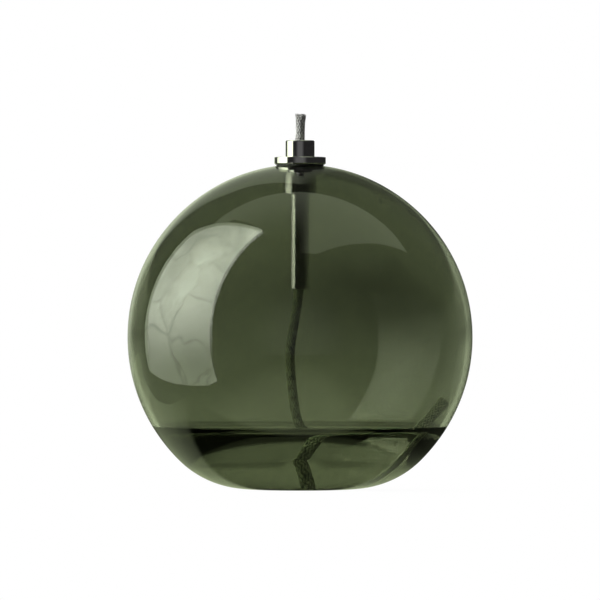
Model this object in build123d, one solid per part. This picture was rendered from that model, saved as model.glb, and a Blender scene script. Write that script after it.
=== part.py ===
from build123d import *
import math
import os

# Refillable oil lamp: a blown glass globe, closed by a lift-out burner that carries a round
# braided wick. Millimetres, +Z up. The origin is the centre of the ring that the globe
# stands on, and the burner's axis is the Z axis.

# Globe
GLOBE_RADIUS = 70.0
GLOBE_CENTRE_Z = 61.5
WALL = 2.5
FOOT_CURVE = 40.0  # radius of the outside curve from the wall to the flat foot
HEEL_CURVE = 30.0  # radius of the inside curve from the wall to the floor
FLOOR_Z = 5.5
PUNT_RADIUS = 9.0  # shallow hollow in the middle of the foot
PUNT_RISE = 0.8
RIM_Z = 130.8  # flat ground land that the burner's seal rests on
NECK_RADIUS = 7.1

# Oil
OIL_LEVEL = 24.5
OIL_GAP = 0.05  # between the oil's solid and the glass
CHANNEL_RADIUS = 2.3  # the wick's way through the oil

# Wick
WICK_RADIUS = 2.0
WICK_SPLIT_Z = 92.0  # where the adjustable length meets the hanging length, in the tube
TIP_Z = 151.8

# Burner
SEAL_RADIUS = 9.6
SEAL_BORE = 6.8
FLANGE_Z = 131.4
FLANGE_THICKNESS = 3.0
FLANGE_RADIUS = 10.45
FLANGE_CHAMFER = 0.5
SPIGOT_RADIUS = 5.95
SPIGOT_LENGTH = 3.0
SLEEVE_RADIUS = 6.7
SLEEVE_WALL = 0.7
SLEEVE_FLOOR = 0.8
SLEEVE_BOTTOM_Z = 119.3
TUBE_RADIUS = 3.85
TUBE_BORE = 2.3
TUBE_BOTTOM_Z = 81.0
TUBE_TOP_Z = 139.4
TUBE_CLEARANCE = 0.05  # round the tube's thread and in the sleeve's floor
CAP_RADIUS = 5.9
CAP_HEIGHT = 6.8
CAP_ROOF = 1.7
CAP_MOUTH = 2.3
NUT_FLATS = 10.0
NUT_HEIGHT = 2.5
SOFT_EDGE = 0.5
FINE_EDGE = 0.25

# The hanging length's route, from the split in the tube to its bare end on the globe's wall
TAIL_ROUTE = [
    (0.0, 0.0, WICK_SPLIT_Z),
    (0.0, 0.0, 81.5),
    (-2.6, 0.3, 66.0),
    (-4.5, 0.3, 54.5),
    (-3.2, 0.0, 40.0),
    (-1.4, -0.2, 27.0),
    (5.0, -1.0, 15.5),
    (15.0, -6.0, 8.7),
    (28.0, -14.5, 9.2),
    (38.0, -23.0, 14.5),
    (44.8, -26.6, 23.2),
    (52.0, -22.4, 30.3),
    (56.8, -15.5, 35.4),
]


def revolved(profile_edges):
    """One solid of revolution about Z from a closed chain of edges in the XZ plane."""
    return revolve(make_face(Curve() + profile_edges), axis=Axis.Z)


def ring(outer, inner, bottom, top):
    """A plain upright ring, or a disc when inner is 0."""
    height = top - bottom
    middle = Pos(0, 0, bottom + height / 2)
    body = middle * Cylinder(outer, height)
    return body - middle * Cylinder(inner, height) if inner else body


def on_arc(centre_x, centre_z, radius, angle):
    """A point of a circle in the XZ plane; the angle is from straight down towards +X."""
    return (centre_x + radius * math.sin(angle), 0, centre_z - radius * math.cos(angle))


def lower_wall(sphere_radius, curve, floor_z, top_z):
    """Two arcs, from a flat floor to a sphere and on up it, and their two end distances.

    The first arc is tangent to the floor and to the sphere, from inside it.
    """
    centre_z = floor_z + curve
    centre_x = math.sqrt((sphere_radius - curve) ** 2 - (GLOBE_CENTRE_Z - centre_z) ** 2)
    tangent = math.atan2(centre_x, GLOBE_CENTRE_Z - centre_z)
    top_x = math.sqrt(sphere_radius**2 - (top_z - GLOBE_CENTRE_Z) ** 2)
    top = math.atan2(top_x, GLOBE_CENTRE_Z - top_z)
    joint = on_arc(0, GLOBE_CENTRE_Z, sphere_radius, tangent)
    on_curve = on_arc(centre_x, centre_z, curve, tangent / 2)
    on_sphere = on_arc(0, GLOBE_CENTRE_Z, sphere_radius, (tangent + top) / 2)
    arcs = [
        ThreePointArc((centre_x, 0, floor_z), on_curve, joint),
        ThreePointArc(joint, on_sphere, (top_x, 0, top_z)),
    ]
    return arcs, centre_x, top_x


def glass_globe():
    """Wall, flat foot with a shallow punt, thick floor and a ground rim round the neck hole."""
    outside, foot_x, rim_x = lower_wall(GLOBE_RADIUS, FOOT_CURVE, 0.0, RIM_Z)
    inner = GLOBE_RADIUS - WALL
    neck_z = GLOBE_CENTRE_Z + math.sqrt(inner**2 - NECK_RADIUS**2)
    inside, floor_x, _ = lower_wall(inner, HEEL_CURVE, FLOOR_Z, neck_z)
    punt_middle = (PUNT_RADIUS / 2, 0, PUNT_RISE * 0.75)
    edges = [
        ThreePointArc((0, 0, PUNT_RISE), punt_middle, (PUNT_RADIUS, 0, 0)),
        Line((PUNT_RADIUS, 0, 0), (foot_x, 0, 0)),
        *outside,
        Line((rim_x, 0, RIM_Z), (NECK_RADIUS, 0, RIM_Z)),
        Line((NECK_RADIUS, 0, RIM_Z), (NECK_RADIUS, 0, neck_z)),
        *inside,
        Line((floor_x, 0, FLOOR_Z), (0, 0, FLOOR_Z)),
        Line((0, 0, FLOOR_Z), (0, 0, PUNT_RISE)),
    ]
    return revolved(edges)


def bend_radii(points):
    """The radius of each corner's arc: as large as its shorter run allows."""
    radii = []
    for before, corner, after in zip(points, points[1:], points[2:]):
        into, out = corner - before, after - corner
        half_turn = math.radians(into.get_angle(out) / 2)
        radii.append(0.45 * min(into.length, out.length) / math.tan(half_turn))
    return radii


def cord_path(route):
    """Straight runs joined by tangent arcs, and the arcs' radii."""
    points = [Vector(*point) for point in route]
    radii = bend_radii(points)
    return FilletPolyline(*points, radius=radii), radii


def tube_along(path, radius):
    """A round solid along a path."""
    start = Plane(origin=path @ 0, z_dir=path % 0)
    return sweep(start * Circle(radius), path=path)


def lamp_oil(tail_path):
    """The filling: flat on top, the globe's shape below, with the wick's channel through it."""
    inner = GLOBE_RADIUS - WALL - OIL_GAP
    floor_z = FLOOR_Z + OIL_GAP
    wall, floor_x, top_x = lower_wall(inner, HEEL_CURVE - OIL_GAP, floor_z, OIL_LEVEL)
    edges = [
        Line((0, 0, floor_z), (floor_x, 0, floor_z)),
        *wall,
        Line((top_x, 0, OIL_LEVEL), (0, 0, OIL_LEVEL)),
        Line((0, 0, OIL_LEVEL), (0, 0, floor_z)),
    ]
    return revolved(edges) - tube_along(tail_path, CHANNEL_RADIUS)


def wick():
    """The adjustable length: from the split in the tube, through the cap, to the lit end."""
    return ring(WICK_RADIUS, 0, WICK_SPLIT_Z, TIP_Z)


def burner_flange():
    """Turned disc with a bevelled underside, a spigot for the sleeve and the tube's hole."""
    top = FLANGE_Z + FLANGE_THICKNESS
    disc = ring(FLANGE_RADIUS, 0, FLANGE_Z, top)
    disc = chamfer(disc.edges().group_by(Axis.Z)[0], FLANGE_CHAMFER)
    disc = fillet(disc.edges().group_by(Axis.Z)[-1], FINE_EDGE)
    spigot = ring(SPIGOT_RADIUS, 0, FLANGE_Z - SPIGOT_LENGTH, FLANGE_Z)
    bore = ring(TUBE_RADIUS + TUBE_CLEARANCE, 0, FLANGE_Z - SPIGOT_LENGTH, top)
    return disc + spigot - bore


def burner_cap():
    """Turned cap that screws on the tube's top, with a mouth for the wick."""
    bottom = FLANGE_Z + FLANGE_THICKNESS
    top = bottom + CAP_HEIGHT
    cap = ring(CAP_RADIUS, 0, bottom, top)
    cap = fillet(cap.edges().group_by(Axis.Z)[-1], SOFT_EDGE)
    cap = cap - ring(TUBE_RADIUS + TUBE_CLEARANCE, 0, bottom, top - CAP_ROOF)
    cap = cap - ring(CAP_MOUTH, 0, bottom, top)
    return chamfer(cap.edges().group_by(Axis.Z)[-1].sort_by(SortBy.RADIUS)[0], FINE_EDGE)


def neck_sleeve():
    """Drawn cup that centres the burner in the neck, with a hole in its floor for the tube."""
    cup = ring(SLEEVE_RADIUS, 0, SLEEVE_BOTTOM_Z, FLANGE_Z)
    cup = fillet(cup.edges().group_by(Axis.Z)[0], FINE_EDGE)
    inside = SLEEVE_RADIUS - SLEEVE_WALL
    cup = cup - ring(inside, 0, SLEEVE_BOTTOM_Z + SLEEVE_FLOOR, FLANGE_Z)
    return cup - ring(TUBE_RADIUS + TUBE_CLEARANCE, 0, SLEEVE_BOTTOM_Z, FLANGE_Z)


def wick_tube():
    """Long guide tube, threaded at its top for the cap and the nut (the thread is left plain)."""
    tube = ring(TUBE_RADIUS, TUBE_BORE, TUBE_BOTTOM_Z, TUBE_TOP_Z)
    return chamfer(tube.edges().group_by(Axis.Z)[0], FINE_EDGE)


def tube_nut():
    """Thin hexagon nut inside the sleeve, which clamps the tube to the flange from below."""
    top = FLANGE_Z - SPIGOT_LENGTH
    blank = RegularPolygon(NUT_FLATS / 2, 6, major_radius=False)
    nut = Pos(0, 0, top - NUT_HEIGHT) * extrude(blank, NUT_HEIGHT)
    return nut - ring(TUBE_RADIUS + TUBE_CLEARANCE, 0, top - NUT_HEIGHT, top)


def export(parts):
    """Write one STEP file per piece."""
    os.makedirs("parts", exist_ok=True)
    for name, shape in parts.items():
        export_step(shape, f"parts/{name}.step")


tail_path, tail_radii = cord_path(TAIL_ROUTE)
wick_tail = tube_along(tail_path, WICK_RADIUS)
export(
    {
        "glass_globe": glass_globe(),
        "lamp_oil": lamp_oil(tail_path),
        "wick": wick(),
        "wick_tail": wick_tail,
        "burner_cap": burner_cap(),
        "burner_flange": burner_flange(),
        "flange_seal": ring(SEAL_RADIUS, SEAL_BORE, RIM_Z, FLANGE_Z),
        "neck_sleeve": neck_sleeve(),
        "wick_tube": wick_tube(),
        "tube_nut": tube_nut(),
    }
)
print("tail radii", [round(radius, 1) for radius in tail_radii])
section = math.pi * WICK_RADIUS**2
print("tail volume", round(wick_tail.volume), "section x length", round(section * tail_path.length))
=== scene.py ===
"""Oil lamp: the looks. Every length is in metres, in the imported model's own frame."""

import bpy
import math
import random
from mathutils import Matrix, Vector, noise


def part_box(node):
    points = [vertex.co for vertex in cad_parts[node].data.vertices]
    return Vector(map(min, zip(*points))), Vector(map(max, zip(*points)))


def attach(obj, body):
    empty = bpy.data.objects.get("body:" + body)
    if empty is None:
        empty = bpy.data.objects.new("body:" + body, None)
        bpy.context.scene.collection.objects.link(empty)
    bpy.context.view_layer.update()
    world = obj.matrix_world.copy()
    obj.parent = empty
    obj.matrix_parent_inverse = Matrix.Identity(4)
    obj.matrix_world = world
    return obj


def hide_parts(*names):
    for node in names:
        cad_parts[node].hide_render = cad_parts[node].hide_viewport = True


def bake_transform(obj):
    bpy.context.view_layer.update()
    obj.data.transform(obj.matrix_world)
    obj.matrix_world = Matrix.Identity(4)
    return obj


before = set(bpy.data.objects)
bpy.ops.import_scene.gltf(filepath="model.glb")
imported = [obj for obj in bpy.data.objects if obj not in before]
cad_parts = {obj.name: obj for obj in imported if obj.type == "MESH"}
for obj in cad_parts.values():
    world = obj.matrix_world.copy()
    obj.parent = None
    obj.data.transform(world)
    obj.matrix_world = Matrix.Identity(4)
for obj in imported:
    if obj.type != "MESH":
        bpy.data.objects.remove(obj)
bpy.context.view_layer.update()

MM = 0.001

# ---- The glass and the oil: sizes as in the design, and levels from the frame ----
GLOBE_RADIUS = 70.0 * MM
GLOBE_CENTRE_Z = 61.5 * MM
GLOBE_CENTRE = Vector((0, 0, GLOBE_CENTRE_Z))
WALL = 2.5 * MM
INNER_RADIUS = GLOBE_RADIUS - WALL
FOOT_CURVE = 40.0 * MM  # radius of the outside curve from the wall to the flat foot
HEEL_CURVE = 30.0 * MM  # radius of the inside curve from the wall to the floor
FLOOR_Z = 5.5 * MM
PUNT_RADIUS = 9.0 * MM  # shallow hollow in the middle of the foot
PUNT_RISE = 0.8 * MM
NECK_RADIUS = 7.1 * MM
RIM_ROUND = 0.35 * MM  # the softened corners of the ground rim
RIM_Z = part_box("glass_globe")[1].z
SWELL_FADE = 8.0 * MM  # over which the wall's swells die away towards the foot and the neck
OIL_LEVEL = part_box("lamp_oil")[1].z
CAPILLARY = 1.9 * MM  # capillary length of lamp oil
WICK_CLIMB = 1.2 * MM  # how far the oil climbs the wick
WICK_CLIMB_REACH = 1.1 * MM
WET_GAP = 0.03 * MM  # between the oil's side and the glass
SEGMENTS = 320  # round the globe and the oil

# ---- The wick ----
WICK_RADIUS = 2.0 * MM
WICK_TOP_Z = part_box("wick")[1].z
WICK_SPLIT_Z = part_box("wick")[0].z
WICK_TRAVEL_DOWN = 8.0 * MM  # the gap that the upper length moves down into, inside the tube
CAP_TOP_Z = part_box("burner_cap")[1].z
STRANDS = 10  # yarns each way round the braid
BRAID_PITCH = 12.0 * MM  # the length of one whole turn of a yarn
YARN_HEIGHT = 0.5 * MM
BRAID_STEP = 0.17 * MM  # between the braid's rings of corners
BRAID_CORNERS = 80  # in each ring
CUT_DOME = 0.3 * MM  # how far a cut end bulges
LOOSE_FIBRES = 150  # at a cut end
FIBRE_ROOT = 0.4 * MM  # how deep in the cut end the loose fibres start

# The loose length's route in millimetres, from inside the tube to its bare end on the wall
TAIL_ROUTE = [
    (0.0, 0.0, 92.0),
    (0.0, 0.0, 81.5),
    (-2.6, 0.3, 66.0),
    (-4.5, 0.3, 54.5),
    (-3.2, 0.0, 40.0),
    (-1.4, -0.2, 27.0),
    (5.0, -1.0, 15.5),
    (15.0, -6.0, 8.7),
    (28.0, -14.5, 9.2),
    (38.0, -23.0, 14.5),
    (44.8, -26.6, 23.2),
    (52.0, -22.4, 30.3),
    (56.8, -15.5, 35.4),
]

# ---- Light and colour ----
GLASS_IOR = 1.5
OIL_IOR = 1.44
GLASS_TINT = (0.236, 0.250, 0.195)
GLASS_CLOUD = 0.04  # how unevenly the tinted layer lies
OIL_TINT = (0.98, 0.985, 0.95)
BACKDROP_LIGHT = 1.0
STUDIO_TINT = (0.90, 1.0, 0.74)
BACKDROP_TINT = (0.90, 1.0, 0.76)
TABLE_TINT = (0.86, 1.0, 0.60)
WINDOW_INSIDE_TINT = (1.0, 1.0, 1.1)  # the window as it is mirrored inside the glass
WICK_LIGHT_PLACE = (-0.9, -0.15, 0.45)
WICK_LIGHT_SIZE = 0.5
CAMERA_PLACE = (0.0, -2.0, 0.0765)
CAMERA_LENS = 295.85  # mm, with a sensor 36 mm wide


# ---- Mesh helpers ----

def clamp(value):
    """A value kept between 0 and 1."""
    return min(1, max(0, value))


def new_mesh(name, vertices, faces, material, smooth=True):
    """A mesh object in the scene, with one material."""
    mesh = bpy.data.meshes.new(name)
    mesh.from_pydata(vertices, [], faces)
    mesh.materials.append(material)
    mesh.polygons.foreach_set("use_smooth", [smooth] * len(mesh.polygons))
    mesh.update()
    piece = bpy.data.objects.new(name, mesh)
    bpy.context.scene.collection.objects.link(piece)
    return piece


def arc(centre_x, centre_z, radius, start, end, steps):
    """Points on a circle in a half section; angles are from straight down, towards +X."""
    points = []
    for i in range(steps + 1):
        angle = start + (end - start) * i / steps
        points.append((centre_x + radius * math.sin(angle), centre_z - radius * math.cos(angle)))
    return points


def ring_faces(low, high, flip=False):
    """Faces from one ring of corners to the next; a ring of one repeated corner is a pole."""
    faces = []
    for k in range(len(low)):
        after = (k + 1) % len(low)
        corners = [low[k], low[after], high[after], high[k]]
        if flip:
            corners = [low[k], high[k], high[after], low[after]]
        faces.append([v for i, v in enumerate(corners) if v != corners[i - 1]])
    return faces


def add_ring(vertices, x, z):
    """Adds the corners of a half section's point turned about Z, and returns their numbers."""
    start = len(vertices)
    if x < 1e-7:
        vertices.append((0.0, 0.0, z))
        return [start] * SEGMENTS
    for k in range(SEGMENTS):
        turn = 2 * math.pi * k / SEGMENTS
        vertices.append((x * math.cos(turn), x * math.sin(turn), z))
    return list(range(start, len(vertices)))


def lathe(profile):
    """Vertices and faces of a half section turned about Z; points on the axis become poles."""
    vertices, faces = [], []
    rings = [add_ring(vertices, x, z) for x, z in profile]
    for low, high in zip(rings, rings[1:]):
        faces += ring_faces(low, high)
    return vertices, faces


# ---- Node helpers ----

def add_node(tree, kind, **values):
    """A node with its attributes, or inputs by name, set."""
    node = tree.nodes.new(kind)
    for key, value in values.items():
        if hasattr(node, key):
            setattr(node, key, value)
        else:
            node.inputs[key.replace("_", " ")].default_value = value
    return node


def own_place(tree):
    """A surface's place in the frame."""
    return add_node(tree, "ShaderNodeTexCoord").outputs["Object"]


def parts_of(tree, vector):
    """A vector's three parts."""
    split = add_node(tree, "ShaderNodeSeparateXYZ")
    tree.links.new(vector, split.inputs[0])
    return split.outputs["X"], split.outputs["Y"], split.outputs["Z"]


def noise_at(tree, place, **values):
    """A noise texture at a place."""
    texture = add_node(tree, "ShaderNodeTexNoise", **values)
    tree.links.new(place, texture.inputs["Vector"])
    return texture.outputs["Fac"]


def value_range(tree, value, low, high, start, end, curve="LINEAR"):
    """Goes from start to end as a value goes from low to high."""
    spread = add_node(tree, "ShaderNodeMapRange", interpolation_type=curve)
    for name, number in (("From Min", low), ("From Max", high), ("To Min", start), ("To Max", end)):
        spread.inputs[name].default_value = number
    tree.links.new(value, spread.inputs["Value"])
    return spread.outputs["Result"]


def smooth_range(tree, value, low, high, start, end):
    """Eases from start to end as a value goes from low to high."""
    return value_range(tree, value, low, high, start, end, "SMOOTHSTEP")


def color_range(tree, value, low, low_color, high, high_color):
    """A colour that goes from one to another as a value goes from low to high."""
    ramp = add_node(tree, "ShaderNodeValToRGB")
    first, last = ramp.color_ramp.elements
    first.position = low
    first.color = (*low_color, 1)
    last.position = high
    last.color = (*high_color, 1)
    tree.links.new(value, ramp.inputs["Fac"])
    return ramp.outputs["Color"]


def combined(tree, operation, *values):
    """Several outputs put through one kind of Math node, one after another."""
    result = values[0]
    for value in values[1:]:
        step = add_node(tree, "ShaderNodeMath", operation=operation)
        tree.links.new(result, step.inputs[0])
        tree.links.new(value, step.inputs[1])
        result = step.outputs[0]
    return result


def product(tree, *values):
    """The product of several outputs."""
    return combined(tree, "MULTIPLY", *values)


def blend_values(tree, factor, start, end):
    """Between two values, each a number or an output; the factor is one too."""
    mix = add_node(tree, "ShaderNodeMix", data_type="FLOAT")
    for socket, value in ((mix.inputs[0], factor), (mix.inputs[2], start), (mix.inputs[3], end)):
        if isinstance(value, float):
            socket.default_value = value
        else:
            tree.links.new(value, socket)
    return mix.outputs[0]


def blend_colors(tree, factor, start, end):
    """Between two colours, each three numbers or an output."""
    mix = add_node(tree, "ShaderNodeMix", data_type="RGBA")
    tree.links.new(factor, mix.inputs[0])
    for socket, color in ((mix.inputs[6], start), (mix.inputs[7], end)):
        if isinstance(color, tuple):
            socket.default_value = (*color, 1)
        else:
            tree.links.new(color, socket)
    return mix.outputs[2]


def distance_from(tree, place, middle, stretch=(1, 1, 1)):
    """How far a place is from a middle, with each axis stretched."""
    shift = add_node(tree, "ShaderNodeVectorMath", operation="SUBTRACT")
    shift.inputs[1].default_value = middle
    tree.links.new(place, shift.inputs[0])
    scale = add_node(tree, "ShaderNodeVectorMath", operation="MULTIPLY")
    scale.inputs[1].default_value = stretch
    tree.links.new(shift.outputs[0], scale.inputs[0])
    length = add_node(tree, "ShaderNodeVectorMath", operation="LENGTH")
    tree.links.new(scale.outputs[0], length.inputs[0])
    return length.outputs["Value"]


# ---- Materials ----

def node_material(name):
    """A fresh material; returns it with its node tree and Principled shader."""
    material = bpy.data.materials.new(name)
    material.use_nodes = True
    tree = material.node_tree
    return material, tree, tree.nodes["Principled BSDF"]


def bumped(tree, shader, height, strength, distance):
    """Gives a shader a bump."""
    bump = add_node(tree, "ShaderNodeBump", Strength=strength, Distance=distance)
    tree.links.new(height, bump.inputs["Height"])
    tree.links.new(bump.outputs["Normal"], shader.inputs["Normal"])


def clear_material(name, ior, tint, cloud=0.0):
    """A clear dielectric; each face lets the square root of the tint through.

    The tint of blown glass is a thin cased layer, so it hardly depends on the wall's thickness;
    cloud is how unevenly that layer lies.
    """
    material, tree, shader = node_material(name)
    shader.inputs["Roughness"].default_value = 0.0
    shader.inputs["IOR"].default_value = ior
    shader.inputs["Transmission Weight"].default_value = 1.0
    shader.inputs["Base Color"].default_value = (*tint, 1)
    if cloud:
        drift = noise_at(tree, own_place(tree), Scale=22.0, Detail=2.0, Distortion=0.8)
        thin = [c * (1 - cloud) for c in tint]
        thick = [c * (1 + cloud) for c in tint]
        tree.links.new(color_range(tree, drift, 0.3, thin, 0.7, thick), shader.inputs["Base Color"])
    return material


def turned_steel(name, color, roughness, lines):
    """Polished steel with the fine rings that a lathe leaves; lines is their number per metre."""
    material, tree, shader = node_material(name)
    shader.inputs["Base Color"].default_value = (*color, 1)
    shader.inputs["Metallic"].default_value = 1.0
    place = own_place(tree)
    along = add_node(tree, "ShaderNodeCombineXYZ")
    tree.links.new(distance_from(tree, place, (0, 0, 0), (1, 1, 0)), along.inputs["X"])
    tree.links.new(parts_of(tree, place)[2], along.inputs["Z"])
    rings = noise_at(tree, along.outputs[0], Scale=lines, Detail=3.0, Roughness=0.6)
    patches = noise_at(tree, place, Scale=160.0, Detail=4.0)
    uneven = blend_values(tree, 0.5, rings, patches)
    spread = value_range(tree, uneven, 0.3, 0.7, roughness * 0.7, roughness * 1.4)
    tree.links.new(spread, shader.inputs["Roughness"])
    bumped(tree, shader, rings, 0.25, 0.00002)
    return material


def silicone():
    """Matte black rubber with a fine moulded grain."""
    material, tree, shader = node_material("black_silicone")
    shader.inputs["Base Color"].default_value = (0.012, 0.012, 0.011, 1)
    grain = noise_at(tree, own_place(tree), Scale=4000.0, Detail=3.0)
    tree.links.new(value_range(tree, grain, 0.0, 1.0, 0.45, 0.75), shader.inputs["Roughness"])
    bumped(tree, shader, grain, 0.2, 0.00003)
    return material


def wick_braid(name, painted_groove_shade, yarn_color, sheen):
    """Glass-fibre yarn: fine fibres, painted shade in the grooves between the yarns, slightly
    uneven, dull.
    """
    material, tree, shader = node_material(name)
    shader.inputs["Roughness"].default_value = 0.8
    shader.inputs["Sheen Weight"].default_value = sheen
    shader.inputs["Sheen Roughness"].default_value = 0.5
    place = own_place(tree)
    fibres = noise_at(tree, place, Scale=9000.0, Detail=4.0, Roughness=0.7)
    patches = noise_at(tree, place, Scale=500.0, Detail=3.0)
    yarn = add_node(tree, "ShaderNodeAttribute", attribute_name="yarn").outputs["Fac"]
    # Painted shade: the base colour goes dark where the yarns are low, in the grooves between them;
    # the patches add uneven tone.
    shade = color_range(tree, product(tree, yarn, patches), 0.16, painted_groove_shade, 0.47, yarn_color)
    tree.links.new(shade, shader.inputs["Base Color"])
    bumped(tree, shader, fibres, 0.5, 0.00006)
    return material


# ---- Glass globe and oil ----

def tangent_angle(sphere_radius, curve, floor_z):
    """Where a curve leaves the sphere for a floor, and the curve's centre (distance, height)."""
    centre_z = floor_z + curve
    centre_x = math.sqrt((sphere_radius - curve) ** 2 - (GLOBE_CENTRE_Z - centre_z) ** 2)
    return math.atan2(centre_x, GLOBE_CENTRE_Z - centre_z), centre_x, centre_z


def sphere_angle(sphere_radius, z):
    """Angle from straight down of a height on a sphere about the globe's centre."""
    return math.acos((GLOBE_CENTRE_Z - z) / sphere_radius)


def blown(vertices, amount, inset, seed, low, high):
    """Small slow swells that hand blowing leaves, none below low and above high."""
    result = []
    for vertex in vertices:
        point = Vector(vertex)
        out = (point - GLOBE_CENTRE).normalized()
        fade = clamp((point.z - low) / SWELL_FADE) * clamp((high - point.z) / SWELL_FADE)
        swell = noise.noise(out * 1.7 + Vector((seed, 0, 0)))
        swell += 0.4 * noise.noise(out * 4.0 + Vector((0, seed, 0)))
        result.append(tuple(point + out * (amount * fade * (swell - inset))))
    return result


def inner_profile(top_angle, gap):
    """The inside from the floor's edge up to an angle on the sphere, inset by a gap."""
    sphere = INNER_RADIUS - gap
    curve = HEEL_CURVE - gap
    tangent, centre_x, centre_z = tangent_angle(sphere, curve, FLOOR_Z + gap)
    heel = arc(centre_x, centre_z, curve, 0, tangent, 20)
    side = arc(0, GLOBE_CENTRE_Z, sphere, tangent, top_angle, 20)
    return heel + side[1:]


def contact_angle():
    """Where the oil's edge meets the wall: the surface curves up to run along the glass."""
    angle = sphere_angle(INNER_RADIUS, OIL_LEVEL)
    for _ in range(4):
        rise = 2 * CAPILLARY * math.sin(angle / 2)
        angle = sphere_angle(INNER_RADIUS, OIL_LEVEL + rise)
    return angle


def outside_profile(neck_angle):
    """The punt, the flat foot, the globe's outside, the ground rim and the neck hole."""
    punt_steps = (0, 0.2, 0.4, 0.6, 0.8, 0.9, 1.0)
    punt = [(PUNT_RADIUS * t, PUNT_RISE * (1 - t * t) ** 2) for t in punt_steps]
    tangent, centre_x, centre_z = tangent_angle(GLOBE_RADIUS, FOOT_CURVE, 0.0)
    foot = arc(centre_x, centre_z, FOOT_CURVE, 0, tangent, 24)
    rim_angle = sphere_angle(GLOBE_RADIUS, RIM_Z)
    side = arc(0, GLOBE_CENTRE_Z, GLOBE_RADIUS, tangent, rim_angle, 130)[1:]
    neck_low = GLOBE_CENTRE_Z - INNER_RADIUS * math.cos(neck_angle)
    neck = [
        (side[-1][0] - 0.4 * RIM_ROUND, RIM_Z),
        (NECK_RADIUS + RIM_ROUND, RIM_Z),
        (NECK_RADIUS + 0.3 * RIM_ROUND, RIM_Z - 0.3 * RIM_ROUND),
        (NECK_RADIUS, RIM_Z - RIM_ROUND),
        (NECK_RADIUS, neck_low + RIM_ROUND),
        (NECK_RADIUS + 0.3 * RIM_ROUND, neck_low + 0.3 * RIM_ROUND),
    ]
    return punt + foot + side + neck


def inside_profile(neck_angle, wet_angle):
    """The globe's inside from the neck hole to the middle of the floor."""
    dry = arc(0, GLOBE_CENTRE_Z, INNER_RADIUS, neck_angle, wet_angle, 110)
    wet = inner_profile(wet_angle, 0.0)[::-1][1:]
    floor = [(wet[-1][0] * t, FLOOR_Z) for t in (0.8, 0.6, 0.4, 0.2, 0.0)]
    return dry + wet + floor


def glass_globe(glass, wetted):
    """The globe as one closed wall; the part of its inside that the oil wets has its own face."""
    neck_angle = math.pi - math.asin((NECK_RADIUS + RIM_ROUND) / INNER_RADIUS)
    wet_angle = contact_angle()
    outside = outside_profile(neck_angle)
    vertices, faces = lathe(outside + inside_profile(neck_angle, wet_angle))
    outer_count = len(lathe(outside)[0])
    outer = blown(vertices[:outer_count], 0.05 * MM, 1.4, 3.7, 8 * MM, 128 * MM)
    inner = blown(vertices[outer_count:], 0.10 * MM, 0.0, 9.1, 34 * MM, 126 * MM)
    globe = new_mesh("blown_globe", outer + inner, faces, glass)
    globe.data.materials.append(wetted)
    wet_low = FLOOR_Z - 0.01 * MM
    wet_top = OIL_LEVEL + 2 * CAPILLARY * math.sin(wet_angle / 2) + 0.01 * MM
    for polygon in globe.data.polygons:
        middle = polygon.center
        inside = (middle - GLOBE_CENTRE).length < INNER_RADIUS + 0.3 * MM
        if inside and wet_low < middle.z < wet_top:
            polygon.material_index = 1
    return globe


def oil_height(x, y, crossings):
    """The oil's own height at a place, with its climb up the wick."""
    rise = 0.0
    for cross_x, cross_y in crossings:
        away = math.hypot(x - cross_x, y - cross_y) - WICK_RADIUS
        rise += WICK_CLIMB * math.exp(-max(away, 0.0) / WICK_CLIMB_REACH)
    return OIL_LEVEL + rise


def meniscus(edge_angle):
    """The oil's climb up the wall: distances from the axis and rises, from its edge inwards."""
    edge_x = (INNER_RADIUS - WET_GAP) * math.sin(edge_angle)

    def reach(slope):
        return math.log(math.tan(slope / 4)) + 2 * math.cos(slope / 2)

    steps = 26
    rim = []
    for i in range(steps):
        slope = min(edge_angle * (1 - i / steps) ** 1.6 + 0.004, edge_angle)
        distance = CAPILLARY * (reach(edge_angle) - reach(slope))
        rim.append((edge_x - distance, 2 * CAPILLARY * math.sin(slope / 2)))
    return rim


def level_radii(end):
    """Radii of the rings in the oil's level part, closer together near the wick."""
    radii, radius, step = [0.0, 1.0 * MM, 1.8 * MM], 2.0 * MM, 0.12 * MM
    while radius < end - 0.6 * MM:
        radii.append(radius)
        radius += step
        step = min(step * 1.12, 1.2 * MM)
    return radii


def add_oil_ring(vertices, radius, climb, crossings):
    """Adds a ring of the oil's top, centred on the wick near it, and returns its numbers."""
    start = len(vertices)
    near_x, near_y = crossings[0]
    if radius == 0.0:
        vertices.append((near_x, near_y, oil_height(near_x, near_y, crossings)))
        return [start] * SEGMENTS
    pull = 1 - clamp((radius - 5 * MM) / (25 * MM))
    pull = pull * pull * (3 - 2 * pull)
    for k in range(SEGMENTS):
        turn = 2 * math.pi * k / SEGMENTS
        x = near_x * pull + radius * math.cos(turn)
        y = near_y * pull + radius * math.sin(turn)
        own = (oil_height(x, y, crossings) - OIL_LEVEL) * (1 if climb < 1.2 * MM else 0.5)
        vertices.append((x, y, OIL_LEVEL + max(climb, own)))
    return list(range(start, len(vertices)))


def lamp_oil(surface, side, crossings):
    """The filling: a top that climbs the wall and the wick, and sides that follow the glass."""
    edge_angle = contact_angle()
    rim = meniscus(edge_angle)
    section = [(radius, 0.0) for radius in level_radii(rim[-1][0])] + rim[::-1]
    vertices, faces = [], []
    rings = [add_oil_ring(vertices, radius, climb, crossings) for radius, climb in section]
    top_faces = SEGMENTS * (len(rings) - 1)
    below = inner_profile(edge_angle, WET_GAP)[::-1][1:]
    floor_x = below[-1][0]
    below += [(floor_x * t, FLOOR_Z + WET_GAP) for t in (0.75, 0.5, 0.25, 0.0)]
    rings += [add_ring(vertices, x, z) for x, z in below]
    for low, high in zip(rings, rings[1:]):
        faces += ring_faces(low, high, flip=True)
    oil = new_mesh("oil_filling", vertices, faces, surface)
    oil.data.materials.append(side)
    for polygon in oil.data.polygons[top_faces:]:
        polygon.material_index = 1
    return oil


# ---- Wick ----

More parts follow.
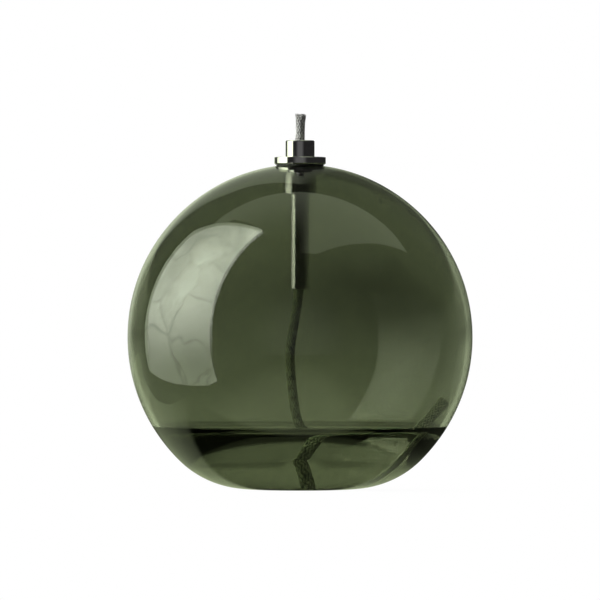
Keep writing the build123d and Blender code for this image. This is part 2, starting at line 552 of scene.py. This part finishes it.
def spline_points(route, name):
    """Points along the smooth NURBS line that a route's points control."""
    curve = bpy.data.curves.new(name, "CURVE")
    curve.dimensions = "3D"
    curve.resolution_u = 48
    spline = curve.splines.new("NURBS")
    spline.points.add(len(route) - 1)
    for point, place in zip(spline.points, route):
        point.co = (place[0] * MM, place[1] * MM, place[2] * MM, 1)
    spline.order_u = 3
    spline.use_endpoint_u = True
    carrier = bpy.data.objects.new(name, curve)
    bpy.context.scene.collection.objects.link(carrier)
    depsgraph = bpy.context.evaluated_depsgraph_get()
    mesh = bpy.data.meshes.new_from_object(carrier.evaluated_get(depsgraph))
    points = [vertex.co.copy() for vertex in mesh.vertices]
    bpy.data.meshes.remove(mesh)
    bpy.data.objects.remove(carrier)
    return points


def evenly(points, step):
    """The same line with points a step apart."""
    lengths = [0.0]
    for a, b in zip(points, points[1:]):
        lengths.append(lengths[-1] + (b - a).length)
    count = max(2, round(lengths[-1] / step))
    result, j = [], 0
    for i in range(count + 1):
        target = lengths[-1] * i / count
        while j < len(points) - 2 and lengths[j + 1] < target:
            j += 1
        span = lengths[j + 1] - lengths[j]
        part = (target - lengths[j]) / span if span else 0.0
        result.append(points[j].lerp(points[j + 1], min(1.0, part)))
    return result, lengths[-1]


def frames_along(line):
    """A direction and two steady cross axes at each point of a line."""
    frames = []
    side = Vector((0, 1, 0))
    for i, point in enumerate(line):
        ahead = line[min(i + 1, len(line) - 1)] - line[max(i - 1, 0)]
        ahead.normalize()
        side = (side - ahead * side.dot(ahead)).normalized()
        frames.append((point, ahead, side, ahead.cross(side)))
    return frames


def yarn_height(u, v):
    """Height from 0 to 1 of a braid where each yarn goes over two and under two.

    u and v count the yarns of each direction. Each yarn is round across, and it is low where it
    goes under.
    """
    sharpness, shift = 2.2, 0.25  # of the crossings
    over = math.tanh(sharpness * math.sin(math.pi / 2 * (v - math.floor(u) - 0.5) + shift))
    under = -math.tanh(sharpness * math.sin(math.pi / 2 * (math.floor(v) - u + 0.5) + shift))
    first = math.sqrt(max(0.0, 1 - (2 * (u - math.floor(u)) - 1) ** 2)) * (0.6 + 0.4 * over)
    second = math.sqrt(max(0.0, 1 - (2 * (v - math.floor(v)) - 1) ** 2)) * (0.6 + 0.4 * under)
    return max(first, second)


def braided_cord(name, line, material, radius_at, seed):
    """A closed braided tube along a line, with loose fibres at its far end."""
    line, length = evenly(line, BRAID_STEP)
    frames = frames_along(line)
    vertices, faces, heights, rings = [], [], [], []
    for i, (point, _, side, up) in enumerate(frames):
        s = length * i / (len(frames) - 1)
        base = radius_at(s, length)
        wobble = 1 + 0.025 * noise.noise(Vector((s * 140, seed, 0)))
        turns = s / BRAID_PITCH
        rings.append(list(range(len(vertices), len(vertices) + BRAID_CORNERS)))
        for k in range(BRAID_CORNERS):
            part = k / BRAID_CORNERS
            angle = 2 * math.pi * k / BRAID_CORNERS
            height = yarn_height(STRANDS * (part + turns), STRANDS * (part - turns))
            heights.append(height)
            reach = (base - YARN_HEIGHT * (1 - height)) * wobble
            vertices.append(point + (side * math.cos(angle) + up * math.sin(angle)) * reach)
    for low, high in zip(rings, rings[1:]):
        faces += ring_faces(low, high)
    for end, sign in ((0, -1), (-1, 1)):
        point, ahead, _, _ = frames[end]
        faces += ring_faces(rings[end], [len(vertices)] * BRAID_CORNERS, flip=sign < 0)
        vertices.append(point + ahead * sign * CUT_DOME)
        heights.append(0.4)
    fray(vertices, faces, heights, frames[-1], radius_at(length, length), random.Random(seed))
    cord = new_mesh(name, [tuple(v) for v in vertices], faces, material)
    # The yarn heights, also those given to the cut ends and loose fibres, set how much painted
    # groove shade the braid's colour gets.
    attribute = cord.data.attributes.new("yarn", "FLOAT", "POINT")
    attribute.data.foreach_set("value", heights)
    return cord, line, length


def fray(vertices, faces, heights, end_frame, base, draw):
    """Loose fibres all over a cut end."""
    point, out, side, up = end_frame
    for _ in range(LOOSE_FIBRES):
        angle = draw.uniform(0, 2 * math.pi)
        reach = base * math.sqrt(draw.uniform(0.0, 0.92))
        spread = side * math.cos(angle) + up * math.sin(angle)
        root = point + spread * reach - out * FIBRE_ROOT
        lean = spread * draw.uniform(-0.1, 0.5) * (reach / base)
        lean += side * draw.uniform(-0.15, 0.15)
        height = draw.uniform(0.5, 1.15) * MM
        width = draw.uniform(0.07, 0.12) * MM
        add_fibre(vertices, faces, heights, root, out, lean, height, width, side, up)


def add_fibre(vertices, faces, heights, root, out, lean, height, width, side, up):
    """One loose fibre end: a thin tapered tube that bends outwards."""
    sides, levels = 5, 4
    rings = []
    for level in range(levels):
        t = level / (levels - 1)
        middle = root + out * (height * t + FIBRE_ROOT * t) + lean * (height * t * t)
        thick = width * (1 - 0.45 * t)
        rings.append(list(range(len(vertices), len(vertices) + sides)))
        for k in range(sides):
            angle = 2 * math.pi * k / sides
            vertices.append(middle + (side * math.cos(angle) + up * math.sin(angle)) * thick)
            heights.append(0.75)
    for low, high in zip(rings, rings[1:]):
        faces += ring_faces(low, high)
    faces.append(rings[0][::-1])
    faces.append(rings[-1])


def tail_radius(s, length):
    """The loose length's radius: even, and a little open at its cut end."""
    return WICK_RADIUS * (0.99 + 0.10 * math.exp(-(length - s) / (2.0 * MM)))


def tip_radius(s, length):
    """The upper length's radius: slim in the burner, and open at the lit end."""
    return WICK_RADIUS * (0.98 + 0.12 * math.exp(-(length - s) / (1.6 * MM)))


def tip_line():
    """The upper length's line: straight in the tube and cap, then leaning a little to +X."""
    bottom = (WICK_SPLIT_Z + WICK_TRAVEL_DOWN) / MM + 1.0  # 1 mm clear of the loose length
    top = WICK_TOP_Z / MM
    bend = CAP_TOP_Z / MM
    route = [
        (0.0, 0.0, bottom),
        (0.0, 0.0, bottom + 20.0),
        (0.0, 0.0, bend),
        (0.06, 0.0, bend + 4.0),
        (0.19, 0.0, bend + 8.0),
        (0.32, -0.05, top - 0.9),  # its loose fibres stand out beyond this
    ]
    return spline_points(route, "tip_line")


# ---- Stage: floor, studio cards, lights and camera ----

def emission_material(name, color=(1, 1, 1)):
    """A stage card's plain light; returns the material, its tree and its Emission node."""
    material = bpy.data.materials.new(name)
    material.use_nodes = True
    tree = material.node_tree
    tree.nodes.remove(tree.nodes["Principled BSDF"])
    glow = tree.nodes.new("ShaderNodeEmission")
    glow.inputs["Color"].default_value = (*color, 1)
    tree.links.new(glow.outputs[0], tree.nodes["Material Output"].inputs["Surface"])
    return material, tree, glow


def card(name, corners, material, mirrored=True, through=False):
    """A flat studio card that is seen only in reflections, through the glass, or both ways."""
    panel = new_mesh(name, corners, [tuple(range(len(corners)))], material, smooth=False)
    panel.visible_camera = False
    panel.visible_diffuse = False
    panel.visible_shadow = False
    panel.visible_glossy = mirrored
    panel.visible_transmission = through
    panel.visible_volume_scatter = False


def mirrored_once(tree):
    """1 for light that a surface has mirrored on its way, 0 for light seen straight through."""
    path = add_node(tree, "ShaderNodeLightPath")
    return smooth_range(tree, path.outputs["Glossy Depth"], 0.0, 1.0, 0.0, 1.0)


def less_on_matt(tree):
    """Much less of a light that reaches a matt surface through glass."""
    path = add_node(tree, "ShaderNodeLightPath")
    return smooth_range(tree, path.outputs["Diffuse Depth"], 0.0, 1.0, 1.0, 0.1)


def tint_through(tree, glow, plain, straight, mirrored):
    """Gives a light one colour, and two more where it has come through the glass.

    One is for light seen straight through, the other for light that a surface inside mirrors.
    Returns the output that says whether light has come through the glass.
    """
    through = add_node(tree, "ShaderNodeLightPath").outputs["Is Transmission Ray"]
    inner = blend_colors(tree, mirrored_once(tree), straight, mirrored)
    tree.links.new(blend_colors(tree, through, plain, inner), glow.inputs["Color"])
    return through


def window_light():
    """The large cloth-covered window light at the left: a hot middle and soft creases.

    Its upper part is stronger where a surface inside the glass mirrors it, which stands in for
    the light that the real globe's walls hand on to each other. Seen straight through the glass
    it is weaker.
    """
    material, tree, glow = emission_material("window_cloth")
    place = own_place(tree)
    _, y, z = parts_of(tree, place)
    depth = smooth_range(tree, y, -0.45, 0.5, 5.2, 2.2)
    low = smooth_range(tree, z, -0.15, 0.4, 0.7, 1.0)
    x = -0.8
    hot = smooth_range(tree, distance_from(tree, place, (x, 0.0, 0.45)), 0.0, 0.6, 1.25, 0.8)
    warp = add_node(tree, "ShaderNodeTexNoise", Scale=1.6, Detail=3.0, Distortion=0.6)
    tree.links.new(place, warp.inputs["Vector"])
    folds = smooth_range(tree, warp.outputs["Fac"], 0.35, 0.65, 0.82, 1.1)
    bend = add_node(tree, "ShaderNodeVectorMath", operation="MULTIPLY_ADD")
    bend.inputs[1].default_value = (0.5, 0.5, 0.5)
    tree.links.new(warp.outputs["Color"], bend.inputs[0])
    tree.links.new(place, bend.inputs[2])
    creases = add_node(tree, "ShaderNodeTexVoronoi", feature="DISTANCE_TO_EDGE", Scale=2.4)
    tree.links.new(bend.outputs[0], creases.inputs["Vector"])
    lines = smooth_range(tree, creases.outputs["Distance"], 0.0, 0.04, 0.72, 1.0)
    through = tint_through(tree, glow, STUDIO_TINT, BACKDROP_TINT, WINDOW_INSIDE_TINT)
    upper = smooth_range(tree, z, -0.20, 0.20, 0.6, 4.8)
    inside = blend_values(tree, through, 1.0, blend_values(tree, mirrored_once(tree), 0.5, upper))
    tree.links.new(product(tree, depth, low, hot, folds, lines, inside), glow.inputs["Strength"])
    corners = [(x, -0.47, -0.40), (x, 0.50, -0.12), (x, 0.57, 0.85), (x, -0.44, 2.40)]
    card("window_light", corners, material, through=True)


def backdrop_seen_through():
    """The backdrop's own soft shading, which shows only through the glass."""
    material, tree, glow = emission_material("backdrop_shading", BACKDROP_TINT)
    place = own_place(tree)
    _, _, z = parts_of(tree, place)
    y = 3.0
    low = smooth_range(tree, z, -0.15, 0.09, 1.7, 1.0)
    high = smooth_range(tree, z, 0.11, 0.20, 1.0, 1.25)
    top = smooth_range(tree, z, 0.72, 0.95, 1.0, 0.2)
    right = smooth_range(tree, distance_from(tree, place, (0.25, y, 0.1)), 0.0, 0.25, 0.75, 1.0)
    from_shade = distance_from(tree, place, (0.095, y, 0.118), (0.8, 1, 1.2))
    shade = smooth_range(tree, from_shade, 0.0, 0.15, 0.6, 1.0)
    strength = product(tree, low, high, top, right, shade, less_on_matt(tree))
    tree.links.new(strength, glow.inputs["Strength"])
    corners = [(-3, y, -0.9), (3, y, -0.9), (3, y, 4), (-3, y, 4)]
    card("backdrop_seen_through", corners, material, mirrored=False, through=True)


def ceiling_card():
    """The pale ceiling: even at the right, and fading out to the front at the left."""
    material, tree, glow = emission_material("ceiling_white", STUDIO_TINT)
    x, y, _ = parts_of(tree, own_place(tree))
    right = smooth_range(tree, x, -0.05, 0.2, 0.0, 1.0)
    left = smooth_range(tree, y, -0.7, 0.4, 0.0, 0.6)
    tree.links.new(blend_values(tree, right, left, 0.75), glow.inputs["Strength"])
    z = 1.5
    corners = [
        (0.29, -0.95, z),
        (1.84, 0.48, z),
        (-1.3, 0.60, z),
        (-1.3, 0.42, z),
        (-0.82, 0.28, z),
        (-0.66, 0.02, z),
        (-0.50, -0.30, z),
        (-0.45, -0.95, z),
    ]
    card("ceiling_card", corners, material)


def backdrop_card():
    """The backdrop behind, as the rim of the glass mirrors it: brighter at the left."""
    material, tree, glow = emission_material("backdrop_white", STUDIO_TINT)
    x, _, z = parts_of(tree, own_place(tree))
    side = smooth_range(tree, x, -0.1, 0.15, 0.75, 0.06)
    fade = smooth_range(tree, x, -0.64, -0.42, 0.0, 1.0)
    height = smooth_range(tree, z, 0.25, 0.7, 1.0, 0.6)
    foot = smooth_range(tree, z, -0.1, 0.2, 0.3, 1.0)
    tree.links.new(product(tree, side, fade, height, foot), glow.inputs["Strength"])
    y = 1.0
    corners = [
        (-0.66, y, -0.4),
        (0.45, y, -0.4),
        (0.45, y, 1.1),
        (0.0, y, 1.75),
        (-0.5, y, 1.05),
    ]
    card("backdrop_card", corners, material)


def table_card():
    """The pale table top as the glass mirrors it, with the globe's shade in front of its foot."""
    material, tree, glow = emission_material("table_white", TABLE_TINT)
    place = own_place(tree)
    x, y, _ = parts_of(tree, place)
    depth = smooth_range(tree, y, -0.03, 0.20, 0.55, 0.13)
    near = smooth_range(tree, distance_from(tree, place, (0.0, -0.03, 0.0)), 0.04, 0.24, 1.0, 0.03)
    back = smooth_range(tree, y, -0.045, 0.0, 0.0, 1.0)
    front = combined(tree, "MAXIMUM", near, back)
    right = smooth_range(tree, x, 0.02, 0.07, 1.0, 0.08)
    left = smooth_range(tree, x, -0.115, -0.03, 0.0, 1.0)
    behind = smooth_range(tree, y, -0.06, 0.0, 0.0, 1.0)
    side = combined(tree, "MAXIMUM", left, behind)
    under = smooth_range(tree, distance_from(tree, place, (0, 0, 0)), 0.03, 0.10, 0.9, 1.0)
    from_shade = distance_from(tree, place, (-0.01, -0.043, 0.0), (0.28, 1, 1))
    shade = smooth_range(tree, from_shade, 0.022, 0.028, 0.03, 1.0)
    strength = product(tree, depth, front, side, right, under, shade)
    tree.links.new(strength, glow.inputs["Strength"])
    corners = [
        (-0.117, -0.34, 0.0),
        (0.30, -0.34, 0.0),
        (0.20, 0.03, 0.0),
        (0.10, 0.45, 0.0),
        (-0.60, 0.60, 0.0),
        (-0.408, 0.321, 0.0),
        (-0.218, 0.137, 0.0),
        (-0.172, 0.079, 0.0),
        (-0.139, 0.037, 0.0),
        (-0.118, -0.005, 0.0),
        (-0.117, -0.050, 0.0),
    ]
    card("table_card", corners, material)


def studio_floor():
    """A pale floor as bright as the surround, a little darker where the foot shades it."""
    material, tree, glow = emission_material("pale_floor")
    open_sky = add_node(tree, "ShaderNodeAmbientOcclusion", samples=8, Distance=0.06).outputs["AO"]
    strength = smooth_range(tree, open_sky, 0.0, 1.0, 0.7, BACKDROP_LIGHT)
    tree.links.new(strength, glow.inputs["Strength"])
    reach = 30.0
    corners = [(-reach, -reach, 0), (reach, -reach, 0), (reach, reach, 0), (-reach, reach, 0)]
    floor = new_mesh("studio_floor", corners, [(0, 1, 2, 3)], material, smooth=False)
    floor.visible_glossy = False
    floor.visible_transmission = False
    floor.visible_diffuse = False


def surround():
    """White to look at, a level band of light through the glass, dim in the rest."""
    world = bpy.data.worlds.new("surround")
    bpy.context.scene.world = world
    world.use_nodes = True
    tree = world.node_tree
    shown = tree.nodes["Background"]
    shown.inputs["Color"].default_value = (1, 1, 1, 1)
    shown.inputs["Strength"].default_value = BACKDROP_LIGHT
    dim = add_node(tree, "ShaderNodeBackground")
    fill = add_node(tree, "ShaderNodeBackground", Strength=0.05)
    through = add_node(tree, "ShaderNodeBackground", Color=(*BACKDROP_TINT, 1))
    direction = add_node(tree, "ShaderNodeTexCoord").outputs["Generated"]
    _, y, z = parts_of(tree, direction)
    level = smooth_range(tree, z, 0.08, 0.24, 1.0, 0.1)
    front = smooth_range(tree, y, -0.8, 0.5, 0.18, 1.0)
    behind = blend_values(tree, mirrored_once(tree), 1.0, front)
    tree.links.new(product(tree, level, behind, less_on_matt(tree)), through.inputs["Strength"])
    from_front = distance_from(tree, direction, (0.0, -1.0, 0.0))
    tree.links.new(smooth_range(tree, from_front, 0.2, 0.6, 0.2, 0.03), dim.inputs["Strength"])
    path = add_node(tree, "ShaderNodeLightPath")
    rays = (("Is Glossy Ray", dim), ("Is Transmission Ray", through), ("Is Diffuse Ray", fill))
    last = shown
    for ray, light in rays:
        mix = add_node(tree, "ShaderNodeMixShader")
        tree.links.new(path.outputs[ray], mix.inputs["Fac"])
        tree.links.new(last.outputs[0], mix.inputs[1])
        tree.links.new(light.outputs[0], mix.inputs[2])
        last = mix
    tree.links.new(last.outputs[0], tree.nodes["World Output"].inputs["Surface"])


def wick_light(name, target, power, color, piece):
    """A soft light from the window's side that shines on one length of the wick only."""
    data = bpy.data.lights.new(name, "AREA")
    data.shape = "SQUARE"
    data.size = WICK_LIGHT_SIZE
    data.energy = power
    data.color = color
    light = bpy.data.objects.new(name, data)
    bpy.context.scene.collection.objects.link(light)
    light.location = WICK_LIGHT_PLACE
    aim = Vector(target) - Vector(WICK_LIGHT_PLACE)
    light.rotation_mode = "QUATERNION"
    light.rotation_quaternion = aim.to_track_quat("-Z", "Y")
    light.visible_camera = False
    light.visible_glossy = False
    light.visible_transmission = False
    group = bpy.data.collections.new(name + "_pieces")
    group.objects.link(piece)
    light.light_linking.receiver_collection = group


def camera():
    """Level camera at the front, two metres away, a little above the globe's centre."""
    data = bpy.data.cameras.new("camera")
    data.sensor_width = 36.0
    data.lens = CAMERA_LENS
    view = bpy.data.objects.new("camera", data)
    bpy.context.scene.collection.objects.link(view)
    view.location = CAMERA_PLACE
    view.rotation_euler = (math.pi / 2, 0.0, 0.0)
    bpy.context.scene.camera = view


# ---- The lamp ----

bpy.context.scene.view_settings.view_transform = "Standard"

camera()
surround()
window_light()
backdrop_seen_through()
ceiling_card()
backdrop_card()
table_card()
studio_floor()
glass = clear_material("smoke_glass", GLASS_IOR, GLASS_TINT, GLASS_CLOUD)
wetted = clear_material("smoke_glass_wet", GLASS_IOR / OIL_IOR, GLASS_TINT, GLASS_CLOUD)
oil_top = clear_material("oil_top", OIL_IOR, OIL_TINT)
oil_side = clear_material("oil_side", 1.0, OIL_TINT)
# Each braid's first colour is the painted shade in its grooves; the second is the yarn's own
# colour.
dry_braid = wick_braid("wick_braid", (0.07, 0.07, 0.06), (0.86, 0.86, 0.83), 0.2)
wet_braid = wick_braid("wick_braid_soaked", (0.03, 0.035, 0.015), (0.60, 0.67, 0.43), 0.0)
polished = turned_steel("polished_steel", (0.56, 0.555, 0.545), 0.11, 9000.0)
tube_steel = turned_steel("tube_steel", (0.50, 0.50, 0.49), 0.12, 12000.0)
rubber = silicone()

tail_line = spline_points(TAIL_ROUTE, "tail_line")
tail, tail_path, tail_length = braided_cord(
    "wick_loose_length", tail_line, wet_braid, tail_radius, 5
)
crossings = [
    (a.x, a.y)
    for a, b in zip(tail_path, tail_path[1:])
    if (a.z - OIL_LEVEL) * (b.z - OIL_LEVEL) < 0
]
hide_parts("wick_tail")
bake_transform(tail)

tip, _, _ = braided_cord("wick_upper_length", tip_line(), dry_braid, tip_radius, 11)
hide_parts("wick")
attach(tip, "wick")

globe = glass_globe(glass, wetted)
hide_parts("glass_globe")
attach(globe, "root")
globe.visible_shadow = False

oil = lamp_oil(oil_top, oil_side, crossings)
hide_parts("lamp_oil")
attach(oil, "root")
oil.visible_shadow = False

for node, finish in (
    ("burner_cap", polished),
    ("burner_flange", polished),
    ("neck_sleeve", polished),
    ("wick_tube", tube_steel),
    ("tube_nut", tube_steel),
    ("flange_seal", rubber),
):
    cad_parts[node].data.materials.clear()
    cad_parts[node].data.materials.append(finish)

wick_light("left_soft", (0, 0, 0.12), 10.0, (1, 1, 1), tip)
wick_light("left_soft_inside", (0, 0, 0.03), 8.0, STUDIO_TINT, tail)
